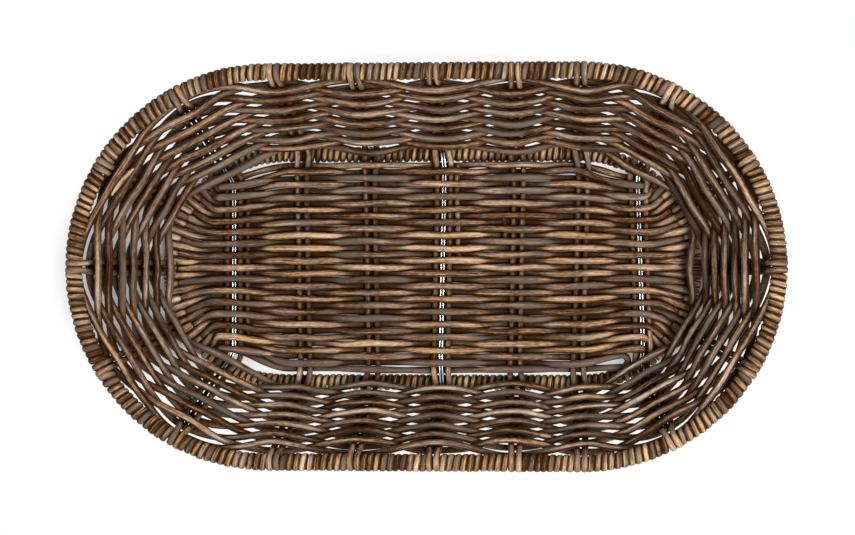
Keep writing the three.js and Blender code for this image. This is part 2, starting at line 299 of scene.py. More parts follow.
def sweep(path, across, thick, wide, sides, tone, rng, outward=False):
    """Carries a flattened round profile along each path of a (strands, points, 3) array.

    A profile point is the path point + thick cos(a) times the across direction, made square to the
    path, + wide sin(a) times the direction square to both. Both ends are closed. Each point keeps its
    place on the straightened cane, for the grain, its strand's tone, and how much painted highlight its
    crest gets: |cos(a)|, or with `outward` the greater of cos(a) and a narrower painted highlight strip
    on the side away from the basket.
    """
    strands, points, _ = path.shape
    forward = unit(np.gradient(path, axis=1))
    across = np.broadcast_to(across, path.shape)
    across = unit(across - (across * forward).sum(-1, keepdims=True) * forward)
    beside = np.cross(forward, across)
    angle = 2 * np.pi * (np.arange(sides) + 0.5) / sides
    thick = np.broadcast_to(thick, (strands, points))[..., None] * np.cos(angle)
    wide = np.broadcast_to(wide, (strands, points))[..., None] * np.sin(angle)
    verts = path[:, :, None] + thick[..., None] * across[:, :, None] + wide[..., None] * beside[:, :, None]

    number = np.arange(strands * points * sides).reshape(strands, points, sides)
    turned = np.roll(number, -1, axis=2)
    walls = np.stack([number[:, :-1], turned[:, :-1], turned[:, 1:], number[:, 1:]], axis=-1).reshape(-1, 4)
    caps = np.concatenate([number[:, 0, ::-1], number[:, -1]])

    steps = np.linalg.norm(np.diff(path, axis=1), axis=2)
    walked = np.concatenate([np.zeros((strands, 1)), np.cumsum(steps, axis=1)], axis=1)
    walked = walked + rng.uniform(0, 10, (strands, 1))
    grain = np.stack([np.broadcast_to(walked[..., None], thick.shape), thick, wide], axis=-1)
    tone = tone[:, None] if tone.ndim == 2 else tone
    tone = np.broadcast_to(tone[:, :, None], (strands, points, sides, 3))
    # Painted highlight profile: the crest, and with outward the outer side, is lit in the colour
    painted_crest_light = np.abs(np.cos(angle))
    if outward:
        painted_crest_light = np.maximum(np.cos(angle), np.maximum(np.cos(angle - OUTER_FACE), 0)**(8 / 3))
    crest = np.tile(painted_crest_light, strands * points)
    return verts.reshape(-1, 3), walls, caps, grain.reshape(-1, 3), tone.reshape(-1, 3), crest


def make_piece(name, sweeps, material, slot, *nodes):
    """One mesh object of several sweeps, that rides on the body and stands for its CAD nodes.

    What would reach below the floor is pressed flat on it.
    """
    verts = np.concatenate([part[0] for part in sweeps])
    verts[:, 2] = np.maximum(verts[:, 2], 0)
    shift = np.cumsum([0] + [len(part[0]) for part in sweeps])
    walls = [part[1] + first for part, first in zip(sweeps, shift)]
    caps = [part[2] + first for part, first in zip(sweeps, shift)]
    loops = np.concatenate([faces.ravel() for faces in walls + caps])
    sizes = np.concatenate([np.full(len(faces), faces.shape[1]) for faces in walls + caps])
    starts = np.concatenate([[0], np.cumsum(sizes)[:-1]])

    mesh = bpy.data.meshes.new(name)
    mesh.vertices.add(len(verts))
    mesh.loops.add(len(loops))
    mesh.polygons.add(len(sizes))
    mesh.vertices.foreach_set("co", verts.astype(np.float32).ravel())
    mesh.loops.foreach_set("vertex_index", loops.astype(np.int32))
    mesh.polygons.foreach_set("loop_start", starts.astype(np.int32))
    mesh.polygons.foreach_set("use_smooth", sizes == 4)
    for label, column in (("grain", 3), ("strand", 4)):
        values = np.concatenate([part[column] for part in sweeps]).astype(np.float32)
        mesh.attributes.new(label, "FLOAT_VECTOR", "POINT").data.foreach_set("vector", values.ravel())
    crest = np.concatenate([part[5] for part in sweeps]).astype(np.float32)
    mesh.attributes.new("crest", "FLOAT", "POINT").data.foreach_set("value", crest)
    mesh.update(calc_edges=True)
    mesh.validate()
    mesh.materials.append(material)
    piece = bpy.data.objects.new(name, mesh)
    bpy.context.scene.collection.objects.link(piece)
    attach(piece, "root")
    if nodes:
        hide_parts(*nodes)
    return piece


def cane_tones(rng, count, middle, spread):
    """One tone, warmth and gloss a strand: tone is normal about the middle, the others even from 0 to 1."""
    tone = rng.normal(middle, spread, count)
    return np.stack([tone, rng.uniform(0, 1, count), rng.uniform(0, 1, count)], axis=1)


class Value:
    """A node's output with arithmetic: each operator adds one Math node to its tree."""

    def __init__(self, socket):
        self.socket = socket
        self.tree = socket.id_data

    def math(self, operation, first, second):
        return add_node(self.tree, "ShaderNodeMath", {"operation": operation}, {0: first, 1: second})

    def __add__(self, other):
        return self.math("ADD", self, other)

    def __radd__(self, other):
        return self.math("ADD", other, self)

    def __sub__(self, other):
        return self.math("SUBTRACT", self, other)

    def __rsub__(self, other):
        return self.math("SUBTRACT", other, self)

    def __mul__(self, other):
        return self.math("MULTIPLY", self, other)

    def __rmul__(self, other):
        return self.math("MULTIPLY", other, self)


def add_node(tree, kind, settings, sockets, output=0):
    """Adds a node: its settings first, a ramp's stops among them, then numbers, colours or links."""
    node = tree.nodes.new(kind)
    for name, value in settings.items():
        if name == "stops":
            set_stops(node.color_ramp.elements, value)
        else:
            setattr(node, name, value)
    for name, value in sockets.items():
        if isinstance(value, Value):
            tree.links.new(value.socket, node.inputs[name])
        else:
            node.inputs[name].default_value = value
    return Value(node.outputs[output]) if node.outputs else None


def set_stops(elements, stops):
    """Gives a ramp its stops, each a place and a colour."""
    while len(elements) < len(stops):
        elements.new(1)
    for element, (place, colour) in zip(elements, stops):
        element.position = place
        element.color = (*colour, 1)


def new_material(name):
    """An empty node material with its output, and the tree to fill."""
    material = bpy.data.materials.new(name)
    material.use_nodes = True
    material.node_tree.nodes.clear()
    return material, material.node_tree


def finish_material(tree, shader):
    """Links a shader to the material's output."""
    add_node(tree, "ShaderNodeOutputMaterial", {}, {"Surface": shader})


def stretched_noise(tree, place, lengths, detail):
    """Noise stretched to the given lengths along the cane, through it and across it."""
    scale = tuple(1 / length for length in lengths)
    spread = add_node(tree, "ShaderNodeVectorMath", {"operation": "MULTIPLY"}, {0: place, 1: scale})
    sockets = {"Vector": spread, "Scale": 1.0, "Detail": detail}
    return add_node(tree, "ShaderNodeTexNoise", {"noise_dimensions": "3D"}, sockets)


def mixed(tree, factor, first, second, blend="MIX"):
    """Two colours mixed by a factor, held between 0 and 1."""
    settings = {"data_type": "RGBA", "blend_type": blend}
    return add_node(tree, "ShaderNodeMix", settings, {0: factor, 6: first, 7: second}, 2)


def eased(tree, value, start, end, low=0.0, high=1.0):
    """The S curve from `low` to `high` while a value goes from start to end."""
    sockets = {"Value": value, "From Min": start, "From Max": end, "To Min": low, "To Max": high}
    return add_node(tree, "ShaderNodeMapRange", {"interpolation_type": "SMOOTHSTEP"}, sockets)


def axis_of(tree, vector, axis):
    """One number of a vector: 0, 1 or 2 for X, Y or Z."""
    return add_node(tree, "ShaderNodeSeparateXYZ", {}, {0: vector}, axis)


def attribute(tree, name, output="Vector"):
    """A piece's own attribute."""
    return add_node(tree, "ShaderNodeAttribute", {"attribute_name": name}, {}, output)


def lacquered_cane(name, stops, roughness, painted_crest_light, greyed):
    """Stained cane under lacquer: a ramp from dark to golden, by tone, blotches, streaks and flecks.

    The colour is lighter along the cane's crest, a painted highlight as strong as the fourth argument
    times the cube of its crest. Some patches are golden and some greyed, and a painted shade darkens the
    colour where ambient occlusion finds the sky hidden.
    """
    material, tree = new_material(name)
    grain = attribute(tree, "grain")
    strand = attribute(tree, "strand")
    tone, warmth, gloss = (axis_of(tree, strand, axis) for axis in range(3))
    blotch = stretched_noise(tree, grain, (28 * MM, 5 * MM, 5 * MM), 2.0)
    streak = stretched_noise(tree, grain, (40 * MM, 0.9 * MM, 0.9 * MM), 3.0)
    fleck = stretched_noise(tree, grain, (3.5 * MM, 0.9 * MM, 0.9 * MM), 2.0)
    # Painted highlight: the cube of the crest lightens the stain along each cane's top
    outer = attribute(tree, "crest", "Fac")
    crest = outer.math("MAXIMUM", outer, 0.0)
    crest = crest * crest * crest
    shade = tone + (blotch - 0.5) * 0.9 + (streak - 0.5) * 1.1 + (fleck - 0.5) * 0.8 + crest * painted_crest_light
    stain = add_node(tree, "ShaderNodeValToRGB", {"stops": stops}, {"Fac": shade})
    patch = stretched_noise(tree, grain, (16 * MM, 4 * MM, 4 * MM), 1.0)
    dull = warmth * 0.8 + patch * 1.4 - 0.6
    colour = mixed(tree, 0.75 - dull * 2.0, stain, GOLD_WASH, "MULTIPLY")
    colour = mixed(tree, dull * greyed - 0.5 * greyed, colour, GREYED_CANE)
    # Painted shade: where ambient occlusion finds little open sky, the colour goes to a dark shade colour
    open_sky = add_node(tree, "ShaderNodeAmbientOcclusion", {"samples": 8}, {"Distance": 11 * MM}, 1)
    colour = mixed(tree, open_sky * 2.1 - 0.85, PAINTED_CREVICE_SHADE, colour)
    bump = add_node(tree, "ShaderNodeBump", {}, {
        "Height": streak + fleck * 0.4, "Strength": 0.5, "Distance": 0.25 * MM,
    })
    shader = add_node(tree, "ShaderNodeBsdfPrincipled", {}, {
        "Base Color": colour,
        "Roughness": roughness + gloss * 0.14 - streak * 0.1,
        "Normal": bump,
        "Specular IOR Level": 0.045,
    })
    finish_material(tree, shader)
    return material


def drawn_steel(name):
    """Bright drawn wire: pale metal with fine scratches along its length. Where its strand's tone is low it
    turns dark: painted shade on the wall, and the painted dark reflection line of the thin middle wire.
    """
    material, tree = new_material(name)
    scratch = stretched_noise(tree, attribute(tree, "grain"), (12 * MM, 0.25 * MM, 0.25 * MM), 2.0)
    bump = add_node(tree, "ShaderNodeBump", {}, {"Height": scratch, "Strength": 0.2, "Distance": 0.05 * MM})
    bright_share = axis_of(tree, attribute(tree, "strand"), 0)
    colour = mixed(tree, bright_share - scratch * 0.2, PAINTED_DARK_STEEL, BRIGHT_STEEL)
    shader = add_node(tree, "ShaderNodeBsdfPrincipled", {}, {
        "Base Color": colour,
        "Metallic": 1.0,
        "Roughness": 0.16 + scratch * 0.12,
        "Normal": bump,
    })
    finish_material(tree, shader)
    return material


GOLD_WASH = (1.07, 0.96, 0.70, 1)
GREYED_CANE = (0.150, 0.112, 0.090, 1)
# Colour of the painted shade in the crevices between canes
PAINTED_CREVICE_SHADE = (0.034, 0.012, 0.002, 1)
# Painted shade and painted dark reflection on the steel wires
PAINTED_DARK_STEEL = (0.03, 0.028, 0.026, 1)
BRIGHT_STEEL = (0.58, 0.58, 0.57, 1)
DARK_STAIN = (
    (0.05, (0.036, 0.013, 0.003)),
    (0.32, (0.143, 0.072, 0.036)),
    (0.58, (0.382, 0.243, 0.155)),
    (0.95, (0.742, 0.545, 0.385)),
)
WALL_STAIN = (
    (0.05, (0.036, 0.013, 0.003)),
    (0.32, (0.138, 0.074, 0.040)),
    (0.58, (0.366, 0.246, 0.172)),
    (0.95, (0.715, 0.550, 0.420)),
)
GOLDEN_STAIN = (
    (0.05, (0.042, 0.016, 0.003)),
    (0.30, (0.190, 0.103, 0.047)),
    (0.56, (0.492, 0.331, 0.206)),
    (0.95, (0.840, 0.680, 0.480)),
)
WALL_CANE = lacquered_cane("lacquered_wall_cane", WALL_STAIN, 0.40, 0.50, 1.7)
BASE_CANE = lacquered_cane("lacquered_base_cane", DARK_STAIN, 0.40, 0.42, 1.9)
STAKE_CANE = lacquered_cane("lacquered_stake_cane", DARK_STAIN, 0.38, 0.22, 2.0)
WRAP_CANE = lacquered_cane("lacquered_binding_cane", GOLDEN_STAIN, 0.38, 0.69, 1.2)
STEEL = drawn_steel("drawn_steel")


def wall_row(row, rng):
    """One round of the wall: a loop through the stations, in front of every second stake.

    Outside a stake the cane touches its far side. Inside it touches the near side, or, where the oval
    turns, lies a little in from the straight line between its two neighbours, which pull it taut.
    With the fourth power of a row's height its outer passes are packed up and its corners bulge out.
    """
    share = row / (WALL_ROWS - 1)
    top_lift = SIDE_LIFT + (END_LIFT - SIDE_LIFT) * np.abs(STATION_OUT[:, 0])
    height = ROW_LOW + (ROW_HIGH - ROW_LOW) * share + LOW_LIFT + (top_lift - LOW_LIFT) * share
    up = (height - STICK_Z) / np.sin(WALL_ANGLE) + rng.normal(0, 0.35 * MM, STATIONS)
    station = np.arange(STATIONS)
    inside = (station + row) % 2 == 1
    up = up + TOP_PACKED * share**4 * ~inside
    depth = WALL_DEPTH - 0.6 * MM * np.abs(STATION_OUT[:, 0])
    side = np.where(inside, depth, 0.3 * MM - depth)
    radius, high = wall_radius_height(up, stake_lean(up) + side)
    knots = at_station(station, radius, high)
    before = np.roll(knots, 1, axis=0)
    chord = np.roll(knots, -1, axis=0) - before
    reach = (before - STATION_AT)[:, 0] * chord[:, 1] - (before - STATION_AT)[:, 1] * chord[:, 0]
    facing = STATION_OUT[:, 0] * chord[:, 1] - STATION_OUT[:, 1] * chord[:, 0]
    slack = (rng.uniform(-0.5, 0.9, STATIONS) - 4.0 - share - 4 * share**4 + (3.0 if row == 0 else 0)) * MM
    taut = np.minimum(radius, reach / facing - slack)
    knots = at_station(station, np.where(inside, taut, radius), high)
    first = 2 * int(rng.integers(0, STATIONS // 2)) + row % 2
    path = smooth_loop(np.roll(knots, -first, axis=0), 17)
    at_corner = np.isin(np.roll(station, -first), (3, 8, 13, 18))[:, None]
    bulge = CORNER_BULGE * share**4 * at_corner * np.sin(np.pi * np.arange(17) / 17)**2
    path[:, :2] += bulge.reshape(-1, 1) * out_from_straight(path)[0]
    return np.concatenate([path, path[:1]])


def flat_end(rng):
    """The pale split end of a spliced cane, a short flat strip laid slantwise on the wall's upper rows."""
    turned = np.radians(np.linspace(155.5, 144, 24))
    up = np.linspace(79, 73.5, 24) * MM
    radius, height = wall_radius_height(up, WALL_DEPTH + WALL_CANE_RADIUS + 2 * MM)
    out = np.stack([np.cos(turned), np.sin(turned), 0 * turned], axis=-1)
    path = radius[:, None] * out + np.stack([0 * up - HALF_STRAIGHT, 0 * up, height], axis=-1)
    path[:, 2] += 2 * MM * np.sin(np.pi * np.linspace(0, 1, 24))
    tone = np.array([[0.3, 0.0, 0.5]])
    wide = 2.2 * MM * np.sqrt(np.sin(np.pi * np.linspace(0.06, 0.94, 24)))
    return sweep(path[None], (0, 0, 1) - 0.5 * out[None], 0.7 * MM, wide, 8, tone, rng)


def weave_wall():
    """Fourteen rows of wall cane, a piece for each."""
    for row in range(WALL_ROWS):
        rng = np.random.default_rng(100 + row)
        path = wall_row(row, rng)[None]
        points = path.shape[1]
        radius = WALL_CANE_RADIUS * (1 + 0.04 * drift(rng, 1, points, 30))
        radius = radius + THICK_BACK * smoothstep(path[..., 1] / RING_RADIUS)
        radius = radius - THIN_FRONT * smoothstep(-path[..., 1] / RING_RADIUS)
        radius = radius + THICK_ENDS * smoothstep((np.abs(path[..., 0]) - HALF_STRAIGHT) / RING_RADIUS)
        path = path + 0.25 * MM * np.stack([drift(rng, 1, points, 40) for _ in range(3)], axis=-1)
        canes = cane_tones(rng, SPLICES, WALL_TONE, WEAVE_TONE_SPREAD)
        which = (np.linspace(0, SPLICES, points) + 0.3 * drift(rng, 1, points, 1)[0]).astype(int) % SPLICES
        tone = canes[which]
        tone[:, 0] -= WALL_END_DARKER * smoothstep((np.abs(path[0, :, 0]) - HALF_STRAIGHT) / RING_RADIUS)
        strands = [sweep(path, (0, 0, 1), radius, radius * 0.96, 10, tone[None], rng, outward=True)]
        if row == SPLIT_ROW:
            strands.append(flat_end(rng))
        make_piece(f"wall_row_{row + 1}", strands, WALL_CANE, "wall_cane", f"wall_weaver_{row + 1}")


def rising(station, aside, rim_aside):
    """A stake from its bend on the base ring up the wall, then over the rim and tucked under it."""
    up = np.linspace(0, WALL_LENGTH, 50)
    radius, height = wall_radius_height(up, stake_lean(up))
    near_rim = smoothstep((up - WALL_LENGTH + LEAN_LENGTH) / LEAN_LENGTH)
    wall = at_station(station, radius, height, aside + (rim_aside - aside) * near_rim)
    angle = np.linspace(WALL_ANGLE + np.pi / 2, -np.radians(150), 20)[1:]
    over = at_station(
        station, RIM_RADIUS + RIM_WRAP * np.cos(angle), RIM_Z + RIM_WRAP * np.sin(angle), rim_aside,
    )
    return wall, over


def stick_line(stick, y):
    """Where a stick lies along X at each place across the oval: straight, a little slanted."""
    return STICK_X[stick] + STICK_SLANT[stick] * y


def reach_of(station):
    """How far out along Y the base ring lies at a station."""
    return RING_RADIUS * abs(STATION_OUT[station][1])


def rim_sizes(on_rim):
    """How much of a stake lies on the rim, eased along it, and its thickness and width there."""
    share = np.convolve(np.pad(on_rim, 6, mode="edge"), np.ones(13) / 13, mode="valid")
    thick = STAKE_RADIUS + (WRAP_THICK - STAKE_RADIUS) * share
    wide = STAKE_RADIUS + (WRAP_WIDE - STAKE_RADIUS) * share
    return share, thick, wide


def stake_tones(rng, share):
    """One tone a stake, a little darker where it lies on the rim."""
    darker = (0.05 * share)[:, None] * np.array([1, 0, 0])
    return cane_tones(rng, 1, STAKE_TONE, STAKE_TONE_SPREAD)[:, None] - darker


def end_foot(station, aside):
    """The foot of a stake at a round end: it dips out of sight inside the base ring."""
    share = np.linspace(0, 1, 8)[:-1]
    sunk = STICK_Z - 5 * MM * (1 - smoothstep(share))
    return at_station(station, RING_RADIUS + 4 * MM * (share - 1), sunk, aside)


def stake_strand(station_back, station_front, stick, aside, rng):
    """A cane that crosses the base along Y and rises at both ends: its path, sizes and tones."""
    back_scale = 1 / abs(STATION_OUT[station_back][1])
    wall_aside = np.clip(aside, -WALL_ASIDE, WALL_ASIDE) * back_scale
    back_wall, back_over = rising(station_back, -wall_aside, -np.sign(aside) * RIM_ASIDE)
    front_wall, front_over = rising(station_front, wall_aside, np.sign(aside) * RIM_ASIDE)
    reach = front_wall[0][1]
    y = np.linspace(reach, -reach, 90)[4:-4]
    base = np.stack([stick_line(stick, y) + aside, y, np.full(len(y), STICK_Z)], axis=1)
    run = evened(np.concatenate([front_wall[::-1], base, back_wall]), 230)
    run = softened(softened(run, 3), 3)
    by_ring = np.exp(-((np.abs(run[:, 1]) - reach_of(station_back)) / (14 * MM))**2)
    apart = np.where(run[:, 1] > 0, *rng.uniform(0, 1, 2)) * RING_SPREAD * by_ring
    run[:, 0] += np.sign(aside) * apart
    path = np.concatenate([front_over[::-1], run, back_over])
    over = len(front_over)
    on_rim = np.concatenate([np.ones(over), np.zeros(len(run)), np.ones(over)])
    share, thick, wide = rim_sizes(on_rim)
    size = 1 + 0.04 * drift(rng, 1, len(path), 12)[0]
    return path[None], (thick * size)[None], (wide * size)[None], stake_tones(rng, share)


def stake_across(path):
    """The thin way of a stake: up on the base, square to the wall, and away from the rim's middle."""
    out, distance = out_from_straight(path)
    away = unit(np.concatenate([out * (distance - RIM_RADIUS), path[..., 2:] - RIM_Z], axis=-1))
    inward = np.concatenate([-np.sin(WALL_ANGLE) * out, 0 * distance + np.cos(WALL_ANGLE)], axis=-1)
    on_wall = smoothstep((path[..., 2:] - STICK_Z) / (6 * MM))
    on_rim = smoothstep((path[..., 2:] - RIM_Z + 9 * MM) / (6 * MM))
    stood = on_wall * inward + (1 - on_wall) * np.array([0, 0, 1])
    return on_rim * away + (1 - on_rim) * stood


def doubled(path, beside):
    """Two bright wires side by side along one path, and a thin dark one below, between them, which is a
    painted dark reflection line.
    """
    shift = WIRE_ASIDE * np.array([-1, 1, 0])[:, None, None] * beside
    return path + shift - WIRE_RADIUS * np.array([0, 0, 1])[:, None, None] * np.array([0, 0, 1])


def wire_tones(path):
    """Two bright wires, darkened by painted shade where they rise up the wall but not near the rim, and a
    dark one, a painted dark reflection line.
    """
    risen = smoothstep((path[..., 2:] - STICK_Z - 2 * MM) / (8 * MM))
    risen = risen - smoothstep((path[..., 2:] - RIM_Z + 16 * MM) / (6 * MM))
    return np.array([1, 1, 0])[:, None, None] * (1 - 0.85 * risen) * np.array([1, 0, 0])


def third_cane(x, low, high, tip, rng):
    """A spare cane beside a set: straight across part of the base, its ends dipping out of sight.

    With a tip, its front end turns along the rows instead and runs out thin.
    """
    bend = 0.3 * tip
    corners = np.array([(x, high, 0), (x, low, 0), (x + bend, low - bend, 0), (x + tip, low - bend, 0)])
    path = evened(corners if tip else corners[:2], 90)
    path = softened(softened(path, 4), 4)
    share = np.linspace(0, 1, 90)
    dip = 1 - smoothstep(np.minimum(share, 1 - share) * (high - low + tip) / (10 * MM))
    path[:, 0] += 0.3 * MM * drift(rng, 1, 90, 2)[0]
    path[:, 2] = STICK_Z - 5 * MM * dip
    radius = STAKE_RADIUS * (1 - 0.7 * smoothstep((path[:, 0] - x) / max(tip, MM)))
    tone = cane_tones(rng, 1, STAKE_TONE, STAKE_TONE_SPREAD)
    return sweep(path[None], (0, 0, 1), radius, radius, 10, tone, rng)


def set_cross_stakes():
    """Seven sets of crossing canes in pairs; three sets hold a steel wire between the two canes."""
    for stick in range(STICKS):
        back, front = 3 + STICKS - 1 - stick, 13 + stick
        spread = WIRED_ASIDE if stick in WIRED_STICKS else PAIR_ASIDE
        for hand, aside in (("left", -spread), ("right", spread)):
            rng = np.random.default_rng(200 + 2 * stick + (hand == "right"))
            path, thick, wide, tone = stake_strand(back, front, stick, aside, rng)
            strands = [sweep(path, stake_across(path), thick, wide, 10, tone, rng)]
            if hand == "right" and stick in THIRD_CANES:
                beside, low, high, tip = THIRD_CANES[stick]
                strands.append(third_cane(STICK_X[stick] + beside, low, high, tip, rng))
            name = f"cross_cane_{stick + 1}_{hand}"
            make_piece(name, strands, STAKE_CANE, "stake_cane", f"cross_stake_{stick + 1}_{hand}")
    for stick in WIRED_STICKS:
        rng = np.random.default_rng(240 + stick)
        back, front = 3 + STICKS - 1 - stick, 13 + stick
        front_wall, _ = rising(front, 0.0, 0.0)
        back_wall, _ = rising(back, 0.0, 0.0)
        base = np.linspace(front_wall[0], back_wall[0], 60)[3:-3]
        base[:, 0] = stick_line(stick, base[:, 1])
        run = evened(np.concatenate([front_wall[-5::-1], base, back_wall[:-4]]), 220)
        path = doubled(softened(softened(run, 4), 4), np.array([1, 0, 0]))
        strand = sweep(path, (1, 0, 0), WIRE_RADIUS, WIRE_RADIUS, 8, wire_tones(path), rng)
        make_piece(f"steel_cross_{stick + 1}", [strand], STEEL, "steel", f"cross_wire_{stick + 1}")


def set_end_stakes():
    """Three pairs of canes at each end, laid over the base ring and bent up.

    The middle pair holds a wire.
    """
    ends = (("right", (0, 1, 2)), ("left", (10, 11, 12)))
    for hand, stations in ends:
        for order, station in enumerate(stations):
            spread = WALL_ASIDE if order == 1 else END_ASIDE
            for letter, aside in (("a", -spread), ("b", spread)):
                rng = np.random.default_rng(300 + station * 2 + (letter == "b"))
                wall, over = rising(station, aside, np.sign(aside) * RIM_ASIDE)
                run = evened(np.concatenate([end_foot(station, aside), wall]), 90)
                run = softened(softened(run, 3), 3)
                path = np.concatenate([run, over])[None]
                share, thick, wide = rim_sizes(np.concatenate([np.zeros(len(run)), np.ones(len(over))]))
                tone = stake_tones(rng, share)
                strand = sweep(path, stake_across(path), thick[None], wide[None], 10, tone, rng)
                place = f"{hand}_{order + 1}_{letter}"
                make_piece(f"end_cane_{place}", [strand], STAKE_CANE, "stake_cane", f"end_stake_{place}")
        rng = np.random.default_rng(340 + stations[1])
        wall, _ = rising(stations[1], 0.0, 0.0)
        run = evened(np.concatenate([end_foot(stations[1], 0.0), wall[:-4]]), 90)
        beside = STATION_ALONG[stations[1]]
        path = doubled(softened(softened(run, 3), 3), beside)
        strand = sweep(path, beside, WIRE_RADIUS, WIRE_RADIUS, 8, wire_tones(path), rng)
        make_piece(f"steel_end_{hand}", [strand], STEEL, "steel", f"end_wire_{hand}")


def base_row_heights(x, row):
    """Over every second stick and under the others: a cosine of the place, pressed flat at its crests."""
    beat = np.cos(np.pi * (np.interp(x, STICK_X, np.arange(STICKS)) + row))
    return STICK_Z + BASE_DEPTH * np.sin(np.pi / 2 * beat)


def fan_angle(row):
    """The angle at which a base row meets the ring's end, even over the fan."""
    middle = (BASE_ROWS - 1) / 2
    return FAN_ANGLE * (row - middle) / (middle - SHORT_ROWS)


def base_row(row):
    """One base row from ring to ring: the woven run, then a curve at both ends that turns to the ring.

    A row that left under the last stick passes over the ring and is tucked round it; a row that left
    over the last stick dives inside the ring.
    """
    y = row_place(row)
    x = np.linspace(STICK_X[0], STICK_X[-1], 169)
    bow = 1 - ROW_BOW * smoothstep((np.abs(x) - STICK_X[-1] + STICK_PITCH) / STICK_PITCH)
    woven = np.stack([x, y * bow, base_row_heights(x, row)], axis=1)
    over_ring = row % 2 == 1
    turn = fan_angle(row)
    out = np.array([np.cos(turn), np.sin(turn), 0])
    entry = np.radians(118)
    start = woven[-1]
    reach = RING_RADIUS + RING_WRAP * np.cos(entry) if over_ring else RING_RADIUS - RING_HALF + 1 * MM
    goal = np.array([HALF_STRAIGHT, 0, 0]) + reach * out
    pull = np.linalg.norm((goal - start)[:2])
    t = np.linspace(0, 1, 24)[1:, None]
    legs = (start, start + pull * 0.45 * np.array([1, 0, 0]), goal - pull * 0.4 * out, goal)
    weights = ((1 - t)**3, 3 * t * (1 - t)**2, 3 * t * t * (1 - t), t**3)
    fan = sum(weight * leg for weight, leg in zip(weights, legs))
    lowest = RING_Z + RING_WRAP * np.sin(entry) if over_ring else RING_Z + 1.5 * MM
    fan[:, 2] = start[2] + (lowest - start[2]) * smoothstep(t[:, 0])
    tail = fan
    if over_ring:
        angle = np.linspace(entry, -np.radians(150), 16)[1:, None]
        wrap = np.array([HALF_STRAIGHT, 0, RING_Z]) + RING_RADIUS * out
        wrap = wrap + RING_WRAP * (np.cos(angle) * out + np.sin(angle) * np.array([0, 0, 1]))
        tail = np.concatenate([fan, wrap])
    mirrored = tail[::-1] * np.array([-1, 1, 1])
    return np.concatenate([mirrored, woven, tail])


def row_place(row):
    """A base row's place across the oval, even from side to side."""
    middle = (BASE_ROWS - 1) / 2
    return ROW_REACH * (row - middle) / middle + ROW_SHIFT


def short_run(row, x, ends, bowed=1.0):
    """A row near the ring's side, along the given places.

    It bows in, and its open ends tuck in and dive out of sight.
    """
    bow = 1 - bowed * ROW_BOW * smoothstep((np.abs(x) - STICK_X[-1] + STICK_PITCH) / STICK_PITCH)
    woven = 1 - smoothstep((np.abs(x) - HAIRPIN_X + 26 * MM) / (26 * MM))
    to_end = np.minimum(x - ends[0], ends[1] - x)
    dive = smoothstep(1 - to_end / (12 * MM))
    tuck = ROW_TUCK[row] * (1 - smoothstep(to_end / (44 * MM)))
    height = STICK_Z - 1 * MM + woven * (base_row_heights(x, row) - STICK_Z + 1 * MM)
    place = row_place(row) * bow - np.sign(row_place(row)) * tuck
    return np.stack([x, place, height - 5 * MM * dive], axis=1)


def short_row(row):
    """A row that stays inside the ring and ends short of the last sticks."""
    end = SHORT_ENDS[min(row, BASE_ROWS - 1 - row)]
    return short_run(row, np.linspace(-end, end, 160), (-end, end))


def hairpin(outer, inner):
    """Two short rows that are one cane: out along one, round a half circle, and back along the other."""
    runs = []
    for row, end, bowed in ((outer, SHORT_ENDS[0], 0.2), (inner, SHORT_ENDS[1], 1.15)):
        runs.append(short_run(row, np.linspace(-end, HAIRPIN_X, 160), (-end, 1.0), bowed))
    gap = runs[1][-1] - runs[0][-1]
    angle = np.linspace(0, np.pi, 16)[1:-1, None]
    turn = runs[0][-1] + gap * (1 - np.cos(angle)) / 2
    turn = turn + np.linalg.norm(gap) / 2 * np.sin(angle) * np.array([1, 0, 0])
    return np.concatenate([runs[0], turn, runs[1][::-1]])


def weave_base():
    """The base rows in the four groups of the frame's base canes."""
    last = BASE_ROWS - 1
    middle = last // 2
    groups = (
        [hairpin(0, 1)],
        [base_row(row) for row in range(SHORT_ROWS, middle)],
        [base_row(row) for row in range(middle, last - SHORT_ROWS + 1)],
        [short_row(last - 1), short_row(last)],
    )
    for group, paths in enumerate(groups):
        strands = []
        rng = np.random.default_rng(400 + group)
        for path in paths:
            points = len(path)
            radius = BASE_CANE_RADIUS * (1 + 0.05 * drift(rng, 1, points, 16))
            wander = 0.25 * MM * drift(rng, 1, points, 12)
            path = path + np.stack([0 * wander[0], wander[0], 0 * wander[0]], axis=1)
            tone = cane_tones(rng, 1, HAIRPIN_TONE if group == 0 else BASE_TONE, WEAVE_TONE_SPREAD)
            crest = np.abs(path[:, 2] - STICK_Z) / BASE_DEPTH
            wide = radius * (1.04 + 0.14 * np.clip(crest, 0, 1))
            across, near = ring_across(path)
            thick = radius * 0.95 + (WRAP_THICK - radius * 0.95) * near
            wide = wide + (WRAP_WIDE * 1.17 - wide) * near
            strands.append(sweep(path[None], across[None], thick, wide, 8, tone, rng))
        make_piece(f"base_rows_{group + 1}", strands, BASE_CANE, "base_cane", f"base_weaver_{group + 1}")


def ring_across(path):
    """The thin way of a base row, and how near it is to the ring, from 0 to 1.

    It points away from the ring's middle near the ring, and straight up elsewhere.
    """
    out, distance = out_from_straight(path)
    away = np.concatenate([out * (distance - RING_RADIUS), path[:, 2:] - RING_Z], axis=-1)
    near = smoothstep((distance - RING_RADIUS + 9 * MM) / (5 * MM))
    return near * unit(away) + (1 - near) * np.array([0, 0, 1]), near[:, 0]


